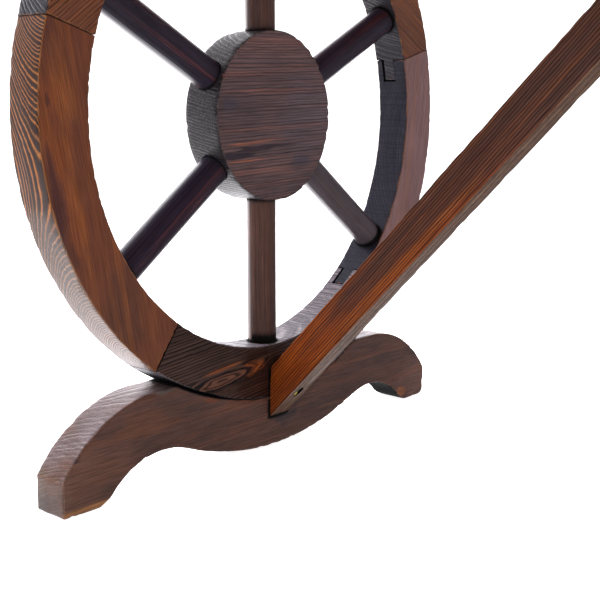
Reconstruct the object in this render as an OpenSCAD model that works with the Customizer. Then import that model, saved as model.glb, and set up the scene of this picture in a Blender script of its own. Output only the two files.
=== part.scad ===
/* [Top] */
// Length of the table top
top_l = 1650; // [1600:10:1800]
// Width of the table top
top_w = 780; // [720:10:840]
// Thickness of the top boards
top_t = 30; // [26:1:40]
// Number of boards side by side in the top
board_count = 5; // [4:1:6]

/* [Wheel] */
// Outer diameter of each wheel
wheel_d = 600; // [580:2:620]
// Thickness of the rim, the feet and the bearers
wheel_t = 42; // [38:1:50]
// Width of the rim along a spoke
rim_w = 54; // [50:1:60]
// Diameter of the hub
hub_d = 178; // [160:2:200]
// Thickness of the hub
hub_t = 46; // [42:1:56]
// Diameter of a spoke
spoke_d = 32; // [24:1:34]
// How far the wheel stands in front of the middle of its foot
wheel_shift = 9; // [0:0.5:12]

/* [Foot] */
// Length of each foot and bearer
foot_l = 590; // [570:2:640]
// Height of a foot at its two crests
foot_h = 98.5; // [94:0.5:102]
// Height of a foot at its middle, under the wheel
foot_waist = 58; // [54:1:60]
// Height of the two arches under a foot
arch_h = 36; // [30:1:38]
// Height of a bearer at its middle, over the wheel
bearer_waist = 64; // [60:1:76]

/* [Brace] */
// Width of a brace across the table
brace_w = 30; // [28:1:40]
// Depth of a brace, square to its length
brace_h = 39; // [34:1:40]
// Slope of a brace above the floor, in degrees
brace_angle = 46.4; // [45:0.2:48]
// Height of the middle of a brace's lower end
brace_z = 64; // [60:1:70]
// Width of the batten that the two braces meet
batten_w = 70; // [60:2:90]
// Length of that batten
batten_l = 700; // [640:10:700]

/* [Hidden] */
$fn = 96;
cut = 1;                 // how far a cutting shape runs past a face
fit = 0.1;               // glue line round a dowel, spoke or screw
wheel_r = wheel_d / 2;
rim_in = wheel_r - rim_w;
pad_h = 6;               // the lowest felloe is left this much deeper where it beds in the foot
pad_r = 265;             // radius of that bed
wheel_z = foot_waist + pad_h + wheel_r;
under_top_z = wheel_z + wheel_r + bearer_waist;
saddle_gap = 1.5;        // open gap each side of the bed, between rim and foot

// Foot outline: a belly arc runs smoothly into two arches, under two crests.
belly_z = 2;
belly_r = 366;
arch_r = 90;
arch_rise = arch_h - belly_z;
arch_y = sqrt(2 * arch_rise * (belly_r + arch_r) - pow(arch_rise, 2));
belly_edge = arch_y * belly_r / (belly_r + arch_r);
crest_y = 0.3 * foot_l;
crest_r = 141;
toe_in = arch_y + sqrt(pow(arch_r, 2) - pow(arch_r - arch_h, 2));
toe_round = 10;          // worn lower corner of each foot's back toe

// Spokes and felloe joints are set out by eye, so they are not quite even.
// Both are in degrees round from straight down, towards the back.
spoke_at = [1, 54, 118, 181, 243, 307];
joint_at = [-35, 42, 106.3, 172, 254, 325];
felloe_names = ["bottom", "back", "top_back", "top_front", "front"];
spoke_socket = 22;       // depth of a spoke's socket in the rim
hub_socket = 28;         // depth of a spoke's socket in the hub

// Each felloe has a tongue that sits in a slot in the felloe before it.
tongue_deg = 5.8;
tongue_h = 36;
tongue_x = [-9.5, 4.5];
slot_x = [-12.8, 4.6];
slot_deg = tongue_deg + 0.35;

// Brace: both ends are cut upright, one on the wheel and one on the batten.
brace_end_h = brace_h / cos(brace_angle);
batten_h = brace_end_h;
brace_top_z = under_top_z - brace_end_h / 2;
brace_run = (brace_top_z - brace_z) / tan(brace_angle);
wheel_x = wheel_t / 2 + brace_run + batten_w / 2;

// Dowels and screws at the foot of a brace. Its head end is the same, turned over.
brace_dowel_z = brace_z + 15;
brace_dowel_d = 10;
brace_dowel_l = 40;
brace_screw_z = brace_z + 3;
brace_screw_l = 60;
brace_screw_head = 24;   // from the wheel's face to the top of the sunk head
screw_d = 5;
head_d = 9;
pocket_d = 11;

// Screws that hold a wheel in its foot and its bearer.
wheel_screw_y = 60;
foot_screw_z = 22;
wheel_screw_l = 85;
cap_screw_y = 100;
cap_screw_l = 115;
// Screws up through a bearer or the batten into the boards.
bearer_screw_y = [-262, -196, 196, 262];
top_screw_z = under_top_z - 35;
top_screw_l = 55;

board_w = top_w / board_count;
board_gap = 0.5;
board_ease = 2;
dowel_d = 10;
dowel_l = 60;
dowel_x = [-700, -350, 0, 350, 700];
dowel_z = under_top_z + top_t / 2;

sides = ["left", "right"];

// A point of the wheel's own plane: a degrees round from straight down, r out.
function wheel_point(a, r) = [r * sin(a), -r * cos(a)];

function board_y(i) = (i - (board_count + 1) / 2) * board_w;

// Puts one end of the table in place. Inside it the wheel's plane is x = 0,
// and +X points to the middle of the table.
module table_end(side) {
    mirror([side == "right" ? 1 : 0, 0, 0])
        translate([-wheel_x, 0, 0])
            children();
}

// Turns an outline in Y and Z into a slab from x = span[0] to x = span[1].
module slab(span) {
    translate([span[0], 0, 0])
        rotate([90, 0, 90])
            linear_extrude(span[1] - span[0])
                children();
}

module at_wheel_centre() {
    translate([0, -wheel_shift, wheel_z])
        children();
}

// An outline drawn about the wheel's centre.
module wheel_outline() {
    translate([-wheel_shift, wheel_z])
        children();
}

// A pie slice about the wheel's centre, between two angles.
module slice(a0, a1) {
    polygon([
        [0, 0],
        wheel_point(a0, wheel_d),
        wheel_point((a0 + a1) / 2, wheel_d),
        wheel_point(a1, wheel_d)
    ]);
}

module bed_circle() {
    translate([0, foot_waist + pad_r])
        circle(pad_r);
}

// A rod along a spoke's line, from radius r0 to radius r1.
module spoke_rod(a, r0, r1, d) {
    at_wheel_centre()
        rotate([a, 0, 0])
            translate([0, 0, -r1])
                cylinder(h = r1 - r0, d = d);
}

// Sockets for the spokes that stand between two angles.
module spoke_sockets(a0, a1) {
    for (a = spoke_at)
        if (a > a0 && a < a1)
            spoke_rod(a, hub_d / 2 - hub_socket, rim_in + spoke_socket, spoke_d + 2 * fit);
}

// A countersunk screw, its head's top at the origin and its shank running down.
module screw(length) {
    difference() {
        rotate_extrude()
            polygon([
                [0, 0], [head_d / 2, 0], [head_d / 2, -0.8], [screw_d / 2, -3.2],
                [screw_d / 2, 4 - length], [0, -length]
            ]);
        for (turn = [0, 90])
            rotate([0, 0, turn])
                translate([-2.2, -0.5, -1.5])
                    cube([4.4, 1, 1.5 + cut]);
    }
}

// The hole that a screw sits in, with a pocket of the given depth over its head.
module screw_hole(length, pocket) {
    translate([0, 0, -length - fit])
        cylinder(h = length + fit, d = screw_d + 2 * fit);
    translate([0, 0, -3.3])
        cylinder(h = 3.3 + pocket, d = pocket_d);
}

module place_brace_screw() {
    translate([wheel_t / 2 + brace_screw_head, 0, brace_screw_z])
        rotate([0, 90, 0])
            children();
}

module place_foot_screws() {
    for (s = [-1, 1])
        translate([0, s * wheel_screw_y, foot_screw_z])
            mirror([0, 0, 1])
                children();
}

module place_cap_screws() {
    for (s = [-1, 1])
        translate([0, s * cap_screw_y, under_top_z - cut])
            children();
}

module place_bearer_screws() {
    for (y = bearer_screw_y)
        translate([0, y, top_screw_z])
            mirror([0, 0, 1])
                children();
}

module brace_dowel(d, length) {
    translate([wheel_t / 2 - length / 2, 0, brace_dowel_z])
        rotate([0, 90, 0])
            cylinder(h = length, d = d);
}

// Draws its children at the foot of a brace and, turned over, at its head.
module both_brace_ends() {
    children();
    translate([wheel_t / 2 + brace_run / 2, 0, (brace_z + brace_top_z) / 2])
        rotate([0, 180, 0])
            translate([-wheel_t / 2 - brace_run / 2, 0, -(brace_z + brace_top_z) / 2])
                children();
}

module brace_bore() {
    brace_dowel(brace_dowel_d + 2 * fit, brace_dowel_l + 2 * fit);
    place_brace_screw() screw_hole(brace_screw_l, 40);
}

// Crests over the length of a foot or bearer, with a flat top between them.
module crest_outline() {
    for (s = [-1, 1])
        intersection() {
            translate([s * crest_y, foot_h - crest_r])
                circle(crest_r);
            translate([s > 0 ? crest_y - cut : -foot_l / 2, 0])
                square([foot_l / 2 - crest_y + cut, foot_h]);
        }
    translate([-crest_y, 0])
        square([2 * crest_y, foot_h]);
}

module foot_outline() {
    difference() {
        crest_outline();
        wheel_outline() circle(wheel_r + saddle_gap);
        bed_circle();
        for (s = [-1, 1])
            translate([s * arch_y, arch_h - arch_r])
                circle(arch_r);
        difference() {
            translate([-belly_edge, -belly_r])
                square([2 * belly_edge, belly_r + arch_h]);
            translate([0, belly_z + belly_r])
                circle(belly_r);
            translate([-belly_edge, arch_h])
                square([2 * belly_edge, belly_r]);
        }
        for (s = [-1, 1])
            scale([s, 1])
                toe_ease();
        difference() {
            translate([foot_l / 2 - toe_round, -1])
                square(toe_round + 1);
            translate([foot_l / 2 - toe_round, toe_round])
                circle(toe_round);
        }
    }
}

// Eases the sharp lower corner where an arch meets the floor.
module toe_ease() {
    translate([toe_in, 0])
        polygon([[7, -1], [7, 0], [-6, 6.9], [-6, -1]]);
}

module foot() {
    color("#4b332a")
        difference() {
            slab([-wheel_t / 2, wheel_t / 2]) foot_outline();
            place_foot_screws() screw_hole(wheel_screw_l, 40);
        }
}

// The bearer is a foot turned over, with its far edge left straight.
module bearer() {
    color("#4f362b")
        difference() {
            slab([-wheel_t / 2, wheel_t / 2])
                difference() {
                    translate([0, under_top_z])
                        mirror([0, 1])
                            crest_outline();
                    wheel_outline() circle(wheel_r + fit);
                }
            place_cap_screws() screw_hole(cap_screw_l, 2 * cut);
            place_bearer_screws() screw_hole(top_screw_l, foot_h);
        }
}

module hub() {
    color("#4a3030")
        difference() {
            at_wheel_centre()
                rotate([0, 90, 0])
                    cylinder(h = hub_t, d = hub_d, center = true);
            spoke_sockets(0, 360);
        }
}

module spoke(i) {
    color("#3f2c2c")
        spoke_rod(spoke_at[i - 1], hub_d / 2 - hub_socket + fit, rim_in + spoke_socket - fit, spoke_d);
}

module felloe_outline(a0, a1, bedded) {
    difference() {
        intersection() {
            union() {
                wheel_outline() circle(wheel_r);
                if (bedded) bed_circle();
            }
            wheel_outline() slice(a0, a1);
        }
        wheel_outline() circle(rim_in);
    }
}

// Wood cut away beside and outside the tongue.
module tongue_shoulders(a) {
    past = a - tongue_deg - cut;
    slab([-wheel_t, tongue_x[0]]) wheel_outline() slice(past, a);
    slab([tongue_x[1], wheel_t]) wheel_outline() slice(past, a);
    slab([-wheel_t, wheel_t])
        wheel_outline()
            difference() {
                slice(past, a);
                circle(rim_in + tongue_h);
            }
}

module tongue_slot(a) {
    slab(slot_x)
        wheel_outline()
            intersection() {
                slice(a - slot_deg, a + cut);
                circle(rim_in + tongue_h + fit);
            }
}

module felloe(i) {
    a0 = joint_at[i];
    a1 = joint_at[i + 1];
    color("#6a4330")
        difference() {
            slab([-wheel_t / 2, wheel_t / 2]) felloe_outline(a0 - tongue_deg, a1, i == 0);
            tongue_shoulders(a0);
            tongue_slot(a1);
            spoke_sockets(a0, a1);
            if (i == 0) {
                brace_bore();
                place_foot_screws() screw_hole(wheel_screw_l, cut);
            } else
                place_cap_screws() screw_hole(cap_screw_l, cut);
        }
}

module brace() {
    half = brace_end_h / 2;
    x0 = wheel_t / 2;
    x1 = x0 + brace_run;
    color("#8a3f1c")
        difference() {
            translate([0, brace_w / 2, 0])
                rotate([90, 0, 0])
                    linear_extrude(brace_w)
                        polygon([
                            [x0, brace_z - half], [x1, brace_top_z - half],
                            [x1, brace_top_z + half], [x0, brace_z + half]
                        ]);
            both_brace_ends() brace_bore();
        }
}

module brace_dowels() {
    color("#c9a06a")
        both_brace_ends() brace_dowel(brace_dowel_d, brace_dowel_l);
}

module brace_screws() {
    color("gold")
        both_brace_ends() place_brace_screw() screw(brace_screw_l);
}

module wheel_screws() {
    color("silver") {
        place_foot_screws() screw(wheel_screw_l);
        place_cap_screws() screw(cap_screw_l);
    }
}

module bearer_screws() {
    color("silver")
        place_bearer_screws() screw(top_screw_l);
}

module place_batten_screws() {
    for (i = [1:board_count])
        translate([0, 0.9 * board_y(i), top_screw_z])
            mirror([0, 0, 1])
                children();
}

module centre_batten() {
    color("#5a3a2b")
        difference() {
            translate([-batten_w / 2, -batten_l / 2, under_top_z - batten_h])
                cube([batten_w, batten_l, batten_h]);
            for (side = sides)
                table_end(side) both_brace_ends() brace_bore();
            place_batten_screws() screw_hole(top_screw_l, batten_h);
        }
}

module batten_screws() {
    color("silver")
        place_batten_screws() screw(top_screw_l);
}

module place_top_dowels() {
    for (i = [1:board_count - 1])
        for (x = dowel_x)
            translate([x, (board_y(i) + board_y(i + 1)) / 2, dowel_z])
                rotate([90, 0, 0])
                    children();
}

module top_dowels() {
    color("#c9a06a")
        place_top_dowels() cylinder(h = dowel_l, d = dowel_d, center = true);
}

module top_board(i) {
    half = (board_w - board_gap) / 2;
    color("#6b4130")
        difference() {
            translate([-top_l / 2, board_y(i), under_top_z])
                rotate([90, 0, 90])
                    linear_extrude(top_l)
                        polygon([
                            [-half, 0], [half, 0], [half, top_t - board_ease],
                            [half - board_ease, top_t], [board_ease - half, top_t],
                            [-half, top_t - board_ease]
                        ]);
            place_top_dowels()
                cylinder(h = dowel_l + 2 * fit, d = dowel_d + 2 * fit, center = true);
            place_batten_screws() screw_hole(top_screw_l, 0);
            for (side = sides)
                table_end(side) place_bearer_screws() screw_hole(top_screw_l, 0);
        }
}

for (i = [1:board_count])
    top_board(i);
top_dowels();
centre_batten();
batten_screws();
for (side = sides)
    table_end(side) {
        foot();
        bearer();
        hub();
        brace();
        brace_dowels();
        brace_screws();
        wheel_screws();
        bearer_screws();
        for (i = [1:len(spoke_at)])
            spoke(i);
        for (i = [0:len(felloe_names) - 1])
            felloe(i);
    }
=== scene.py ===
"""Looks for a long table that stands on two wheels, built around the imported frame.

Everything is in metres in the row frame: +X along the table, -Y its front, +Z up.
One end is described in its own frame, where x = 0 is the wheel's plane and +x points
to the middle of the table. The left end is moved there and the right end is mirrored.
"""
import math

import bmesh
import bpy
import numpy as np
from mathutils import Matrix, Quaternion, Vector, noise


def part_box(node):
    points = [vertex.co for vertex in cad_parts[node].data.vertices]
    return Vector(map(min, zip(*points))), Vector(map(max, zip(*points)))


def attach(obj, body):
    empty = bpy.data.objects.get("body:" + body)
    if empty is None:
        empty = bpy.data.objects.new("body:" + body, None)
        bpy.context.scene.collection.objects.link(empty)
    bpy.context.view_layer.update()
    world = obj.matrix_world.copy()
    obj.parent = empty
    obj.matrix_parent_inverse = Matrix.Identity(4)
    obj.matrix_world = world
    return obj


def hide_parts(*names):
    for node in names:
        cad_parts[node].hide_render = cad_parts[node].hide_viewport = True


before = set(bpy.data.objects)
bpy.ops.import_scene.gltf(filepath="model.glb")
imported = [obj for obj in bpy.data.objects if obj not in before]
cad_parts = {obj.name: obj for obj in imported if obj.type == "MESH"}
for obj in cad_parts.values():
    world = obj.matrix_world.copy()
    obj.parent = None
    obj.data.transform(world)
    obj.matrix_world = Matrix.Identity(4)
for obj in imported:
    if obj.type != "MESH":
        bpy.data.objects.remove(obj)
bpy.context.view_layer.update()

# ---- Sizes, read from the frame where it has them ----

hub_lo, hub_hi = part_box("left_hub")
rim_lo, rim_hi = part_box("left_felloe_front")
foot_lo, foot_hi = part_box("left_foot")
batten_lo, batten_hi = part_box("centre_batten")
brace_lo, brace_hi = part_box("left_brace")
spoke_lo, spoke_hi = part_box("left_spoke_1")
board_lo, board_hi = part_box("top_board_1")

WHEEL = (hub_lo + hub_hi) / 2  # centre of the left wheel
WHEEL_Y = WHEEL.y
WHEEL_Z = WHEEL.z
RIM_T = rim_hi.x - rim_lo.x  # thickness of the rim, the foot and the bearer
RIM_R = WHEEL_Y - rim_lo.y
RIM_W = 0.054
RIM_IN = RIM_R - RIM_W
HUB_R = (hub_hi.y - hub_lo.y) / 2
HUB_T = hub_hi.x - hub_lo.x
UNDER_TOP = batten_hi.z
BOARD_GAP = 0.0005
CLEAR = 0.0001  # left between faces that meet

SPOKE_R = (spoke_hi.x - spoke_lo.x) / 2
SPOKE_AT = [1, 54, 118, 181, 243, 307]  # degrees round from straight down
SOCKET_R = SPOKE_R + 0.0005
SOCKET_DEEP = 0.022  # of a spoke in the rim
HUB_SOCKET = 0.028  # of a spoke in the hub

FELLOES = ["bottom", "back", "top_back", "top_front", "front"]
JOINT_AT = [-35, 42, 106.3, 172, 254, 325]
JOINT_DEG = 0.05  # gap at a joint
TONGUE_DEG = 5.8
TONGUE_H = 0.036
TONGUE_X = (-0.0095, 0.0045)
SLOT_DEG = 0.35  # a slot is this much longer than its tongue
SLOT_X = (-0.0128, 0.0046)

FOOT_L = foot_hi.y - foot_lo.y
FOOT_H = foot_hi.z
FOOT_WAIST = 0.058
CREST_Y = 0.3 * FOOT_L
CREST_R = 0.141
BED_R = 0.265  # bed of the lowest felloe in the foot
BED_Z = foot_lo.z + FOOT_WAIST + BED_R
SADDLE_GAP = 0.0016  # beside the bed, on the foot's inner face
BED_DEG = 36  # how far the bed reaches round the wheel, each way
BELLY_Z = 0.002
BELLY_R = 0.366
ARCH_R = 0.090
ARCH_H = 0.036
TOE_R = 0.010  # round corner at the back of the foot
TOE_EASE = (0.006, 0.007, 0.53)  # start, end and slope of a toe's eased inner corner

BRACE_T = brace_hi.y - brace_lo.y
BRACE_X = (RIM_T / 2, batten_lo.x - WHEEL.x)
BRACE_END_H = batten_hi.z - batten_lo.z
BRACE_Z = (brace_lo.z + BRACE_END_H / 2, brace_hi.z - BRACE_END_H / 2)
BRACE_SLOPE = (BRACE_Z[1] - BRACE_Z[0]) / (BRACE_X[1] - BRACE_X[0])

SHANK_R = 0.0027  # hole for a long screw's shank
POCKET_R = 0.0055  # hole for a screw's head
WHEEL_SCREW_Y = (-0.06, 0.06)
SHANK_TOP = 0.11
FOOT_POCKET = 0.0253  # top of the pockets in the foot
BEARER_SCREW_Y = (-0.262, -0.196, 0.196, 0.262)
TOP_POCKET = UNDER_TOP - 0.0317  # top of the pockets in the bearers and the batten
BRACE_SCREW = (0.024, 0.003)  # head from the rim's face, and up from the brace's middle
BRACE_POCKET = 0.0033  # its pocket is this much deeper than the head's place

# How each piece lies in its log: a point on the log's middle line, and the way that line runs
RIM_LOG = [((-0.02, 0, -0.06), (0, 1, 0.10)), ((0.10, 0.42, 0.36), (0.01, 0.12, 1)),
           ((0.04, 0, 0.78), (0, 0.9, -0.45)), ((0.05, 0, 0.80), (0, 0.8, 0.6)),
           ((0.024, -0.215, 0.364), (0, -0.19, 0.98))]
HUB_LOG = ((0.05, 0, WHEEL_Z + 0.25), (0, 1, 0.05))
FOOT_LOG = ((0.05, 0, -0.09), (0.02, 1, 0.01))
BEARER_LOG = ((-0.06, 0, UNDER_TOP - 0.15), (0, 1, 0.01))
BRACE_LOG = ((BRACE_X[0], 0.03, BRACE_Z[0] + 0.14), (1, 0, BRACE_SLOPE + 0.015))

EDGE_ROWS = 3  # rows of faces round a rounded edge
EDGE_KEEP = 0.006  # this near an edge, a warped block keeps true lengths
NICK_SIZE = 0.006
NICK_REACH = 0.004  # how far from an edge nicks are found
CHAR_DEEP = 0.0015  # charring fades out over about this depth

LENS = 61.47
CAMERA_OFF = (0.7479, -0.8252, 0.0048)  # from the wheel's centre
CAMERA_AIM = (-0.6309, 0.7546, -0.1804)
CAMERA_ROLL = 0.0121
BRIGHT_SIDE = (-0.900, 0.380, -0.200)  # the way to the brightest part of the studio
STUDIO_R = 9.0


# ---- Camera, light and floor ----

def new_object(name, data):
    item = bpy.data.objects.new(name, data)
    bpy.context.scene.collection.objects.link(item)
    return item


def add_camera():
    data = bpy.data.cameras.new("camera")
    data.sensor_width = 36
    data.lens = LENS
    camera = new_object("camera", data)
    camera.location = WHEEL + Vector(CAMERA_OFF)
    aim = Vector(CAMERA_AIM).to_track_quat("-Z", "Y")
    roll = Quaternion((0, 0, 1), CAMERA_ROLL)
    camera.rotation_mode = "QUATERNION"
    camera.rotation_quaternion = aim @ roll
    bpy.context.scene.camera = camera


def add_area_light(name, place, aim, size, power, colour):
    data = bpy.data.lights.new(name, "AREA")
    data.shape = "RECTANGLE"
    data.size, data.size_y = size
    data.energy = power
    data.color = colour
    light = new_object(name, data)
    light.location = place
    light.visible_glossy = False
    light.rotation_euler = (Vector(aim) - Vector(place)).to_track_quat("-Z", "Y").to_euler()


def add_world():
    """Soft daylight, brighter behind the table than on the camera's side."""
    world = bpy.data.worlds.new("studio")
    w = Wiring(world)
    place = w.node("TexCoord").outputs["Generated"]
    facing = w.vector("DOT_PRODUCT", place, BRIGHT_SIDE)
    w.surface("Color", (0.97, 0.955, 1.0))
    w.surface("Strength", w.fade(facing, 0.52, 0.86, 0.20, 5.8))
    bpy.context.scene.world = world
    bpy.context.scene.view_settings.view_transform = "Standard"


def add_lights():
    low = WHEEL + Vector((0, 0, -0.15))
    add_area_light("left_soft", (-2.4, -0.3, 1.55), low, (1.8, 1.2), 95, (1, 0.97, 1))
    add_area_light("back_soft", (-0.9, 2.3, 1.3), low, (2.4, 1.2), 75, (0.98, 0.96, 1))
    add_area_light("front_soft", (0.9, -1.8, 1.2), WHEEL, (1.2, 1.0), 22, (1, 0.96, 0.93))


def stage_mesh(name, points, faces, glow):
    """A white studio surface that glows a little and stays out of reflections."""
    mesh = bpy.data.meshes.new(name)
    mesh.from_pydata(points, [], faces)
    item = new_object(name, mesh)
    w = Wiring(bpy.data.materials.new(name))
    w.surface("Base Color", (0.85, 0.85, 0.86))
    w.surface("Roughness", 0.9)
    w.surface("Emission Color", (1, 1, 1))
    w.surface("Emission Strength", glow)
    mesh.materials.append(w.owner)
    item.visible_glossy = False
    return item


def add_floor():
    """A pale floor, and a white wall far round it that only the camera sees."""
    half = STUDIO_R
    stage_mesh("floor", [(-half, -half, 0), (half, -half, 0), (half, half, 0), (-half, half, 0)],
               [(0, 1, 2, 3)], 0.85)
    sides = 48
    ring = [(math.cos(2 * math.pi * k / sides), math.sin(2 * math.pi * k / sides))
            for k in range(sides)]
    points = [(half * x, half * y, z) for z in (0, 1.5 * half) for x, y in ring]
    faces = [(k, (k + 1) % sides, sides + (k + 1) % sides, sides + k) for k in range(sides)]
    wall = stage_mesh("wall", points, faces, 1.0)
    wall.visible_diffuse = False
    wall.visible_shadow = False


# ---- Solids ----

def spaced(length, step, radius):
    """Grid lines along one edge of a block, closer together near its two ends."""
    near = [radius * k / EDGE_ROWS for k in range(EDGE_ROWS + 1)]
    near += [radius + 0.0015, radius + 0.004]
    start, end = near[-1], length - near[-1]
    count = max(1, round((end - start) / step))
    inner = [start + (end - start) * k / count for k in range(1, count)]
    return near + inner + [length - value for value in reversed(near)]


def block(lengths, radius, steps):
    """A box with rounded edges, its corner at the origin.

    Gives its points, its faces and each point's distance from the nearest edge.
    """
    lines = [spaced(length, step, radius) for length, step in zip(lengths, steps)]
    index = {}
    faces = []

    def corner(key):
        return index.setdefault(key, len(index))

    for axis in range(3):
        a, b = (axis + 1) % 3, (axis + 2) % 3
        for end in (0, len(lines[axis]) - 1):
            for i in range(len(lines[a]) - 1):
                for j in range(len(lines[b]) - 1):
                    keys = []
                    for di, dj in ((0, 0), (1, 0), (1, 1), (0, 1)):
                        key = [0, 0, 0]
                        key[axis], key[a], key[b] = end, i + di, j + dj
                        keys.append(corner(tuple(key)))
                    faces.append(keys if end else keys[::-1])
    points = np.array([[lines[k][key[k]] for k in range(3)] for key in index])
    size = np.array(lengths)
    edge = np.sort(np.minimum(points, size - points), axis=1)[:, 1]
    inner = np.clip(points, radius, size - radius)
    out = points - inner
    points = inner + out / np.linalg.norm(out, axis=1, keepdims=True) * radius
    return points, faces, edge


def between(value, low, high, full):
    """Moves a height in a block, 0 to full, to run from low to high."""
    t = np.clip((value - EDGE_KEEP) / (full - 2 * EDGE_KEEP), 0, 1)
    middle = low + EDGE_KEEP + t * (high - low - 2 * EDGE_KEEP)
    top = high - (full - value)
    return np.where(value < EDGE_KEEP, low + value, np.where(value > full - EDGE_KEEP, top, middle))


def lathe(profile, segments):
    """A solid turned about the x axis from (x, radius, edge distance) points."""
    points = []
    edge = []
    faces = []
    for x, radius, near in profile:
        count = segments if radius > 0 else 1
        for k in range(count):
            turn = 2 * math.pi * k / segments
            points.append((x, radius * math.cos(turn), radius * math.sin(turn)))
            edge.append(near)
    first = 1
    for k in range(segments):
        faces.append((0, first + k, first + (k + 1) % segments))
    for ring in range(len(profile) - 3):
        a = 1 + ring * segments
        b = a + segments
        for k in range(segments):
            n = (k + 1) % segments
            faces.append((a + k, b + k, b + n, a + n))
    last = len(points) - 1
    for k in range(segments):
        faces.append((last, last - segments + (k + 1) % segments, last - segments + k))
    return np.array(points), faces, np.array(edge)


def mesh_object(name, points, faces, edge=None):
    mesh = bpy.data.meshes.new(name)
    mesh.from_pydata(points.tolist(), [], faces)
    if edge is not None:
        mesh.attributes.new("edge", "FLOAT", "POINT").data.foreach_set("value", edge)
        skin = np.ones(len(faces))
        mesh.attributes.new("skin", "FLOAT", "FACE").data.foreach_set("value", skin)
    item = new_object(name, mesh)
    bm = bmesh.new()
    bm.from_mesh(mesh)
    bmesh.ops.recalc_face_normals(bm, faces=bm.faces)
    bm.to_mesh(mesh)
    bm.free()
    return item


def points_of(item):
    co = np.empty(len(item.data.vertices) * 3)
    item.data.vertices.foreach_get("co", co)
    return co.reshape(-1, 3)


def set_points(item, points):
    item.data.vertices.foreach_set("co", points.ravel())
    item.data.update()


def wear_surface(item, seed, grain, wave=0.0004, nick=0.0, cell=0.02, calm=None):
    """Sinks a solid's skin a little, unevenly, with longer waves along the grain.

    Near an edge it also takes out small nicks. Calm gives, from 0 to 1, how far each
    point keeps its true place.
    """
    points = points_of(item)
    normals = np.empty(len(points) * 3)
    item.data.vertices.foreach_get("normal", normals)
    normals = normals.reshape(-1, 3)
    edge = np.empty(len(points))
    item.data.attributes["edge"].data.foreach_get("value", edge)
    along = points @ np.array(grain)
    shrunk = (points - 0.8 * np.outer(along, grain)) / cell + seed
    depth = np.array([noise.noise(Vector(p)) for p in shrunk])
    depth = wave * (0.5 + 0.5 * depth)
    if nick:
        fine = points / NICK_SIZE + 2 * seed
        chips = np.array([noise.noise(Vector(p)) for p in fine])
        depth += nick * np.clip(chips - 0.05, 0, 1) * np.clip(1 - edge / NICK_REACH, 0, 1)
    if calm:
        depth *= 1 - np.clip(calm(points), 0, 1)
    set_points(item, points - normals * depth[:, None])


def place_numbers(points):
    """One whole number for each place, the same for points in the same place."""
    return np.round(points * 1e6).astype(np.int64) @ np.array((1, 10 ** 6, 10 ** 12))


def cut_away(item, cutters):
    """Takes closed shapes out of a solid, and removes them.

    The new faces have no skin, and the solid's own edges stay the only worn ones.
    """
    first = points_of(item)
    for cutter in cutters:
        modifier = item.modifiers.new("cut", "BOOLEAN")
        modifier.operation = "DIFFERENCE"
        modifier.solver = "MANIFOLD"
        modifier.object = cutter
    graph = bpy.context.evaluated_depsgraph_get()
    mesh = bpy.data.meshes.new_from_object(item.evaluated_get(graph))
    old = item.data
    item.modifiers.clear()
    item.data = mesh
    bpy.data.meshes.remove(old)
    for cutter in cutters:
        data = cutter.data
        bpy.data.objects.remove(cutter)
        bpy.data.meshes.remove(data)
    edge = np.empty(len(mesh.vertices))
    layer = mesh.attributes["edge"]
    layer.data.foreach_get("value", edge)
    edge[~np.isin(place_numbers(points_of(item)), place_numbers(first))] = 0.01
    layer.data.foreach_set("value", edge)


def rod(start, end, radius, segments=40):
    """A plain rod used as a cutter."""
    start, end = Vector(start), Vector(end)
    bm = bmesh.new()
    bmesh.ops.create_cone(bm, cap_ends=True, segments=segments, radius1=radius, radius2=radius,
                          depth=(end - start).length)
    turn = (end - start).to_track_quat("Z", "Y").to_matrix().to_4x4()
    bm.transform(Matrix.Translation((start + end) / 2) @ turn)
    mesh = bpy.data.meshes.new("cutter")
    bm.to_mesh(mesh)
    bm.free()
    return new_object("cutter", mesh)


def sector(a0, a1, r0, r1, x0, x1, steps=8):
    """A cutter: part of a ring about the wheel's centre, between two angles in degrees."""
    points = []
    for k in range(steps + 1):
        a = math.radians(a0 + (a1 - a0) * k / steps)
        for r in (r0, r1):
            for x in (x0, x1):
                points.append((x, WHEEL_Y + r * math.sin(a), WHEEL_Z - r * math.cos(a)))
    faces = []
    for k in range(steps):
        n = 4 * k
        for i, j in ((0, 1), (1, 3), (3, 2), (2, 0)):
            faces.append((n + i, n + j, n + 4 + j, n + 4 + i))
    faces.append((0, 2, 3, 1))
    faces.append((4 * steps, 4 * steps + 1, 4 * steps + 3, 4 * steps + 2))
    return mesh_object("cutter", np.array(points), faces)


# ---- Finishing a piece ----

def finish_piece(item, side, log, look, nodes, grime_and_shade=None, scorch_and_sheen=None):
    """Stores the piece's place in its log, sets its looks and puts it in the table.

    The log is a point on its middle line and the way that line runs. The grain
    attribute is then the place in the log, with z along it. The two masks tell, at each
    point, how far dark joints and painted shade darken the wood, and how far it is charred, with a
    pale painted sheen on some pieces.
    """
    points = points_of(item)
    for name, amount in (("grime_and_shade", grime_and_shade), ("scorch_and_sheen", scorch_and_sheen)):
        value = np.clip(amount(points), 0, 1) if amount else np.zeros(len(points))
        item.data.attributes.new(name, "FLOAT", "POINT").data.foreach_set("value", value)
    pith, grain = log
    turn = Vector(grain).to_track_quat("Z", "Y").to_matrix().inverted()
    place = (points - np.array(pith)) @ np.array(turn).T
    mesh = item.data
    layer = mesh.attributes.new("grain", "FLOAT_VECTOR", "POINT")
    layer.data.foreach_set("vector", place.astype(np.float32).ravel())
    if side:
        points[:, 0] += WHEEL.x
        if side == "right":
            points[:, 0] *= -1
        set_points(item, points)
        if side == "right":
            mesh.flip_normals()
    mesh.materials.clear()
    mesh.materials.append(look)
    mesh.shade_smooth()
    mesh.set_sharp_from_angle(angle=math.radians(38))
    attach(item, "root")
    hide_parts(nodes)


# ---- Wheel ----

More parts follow.
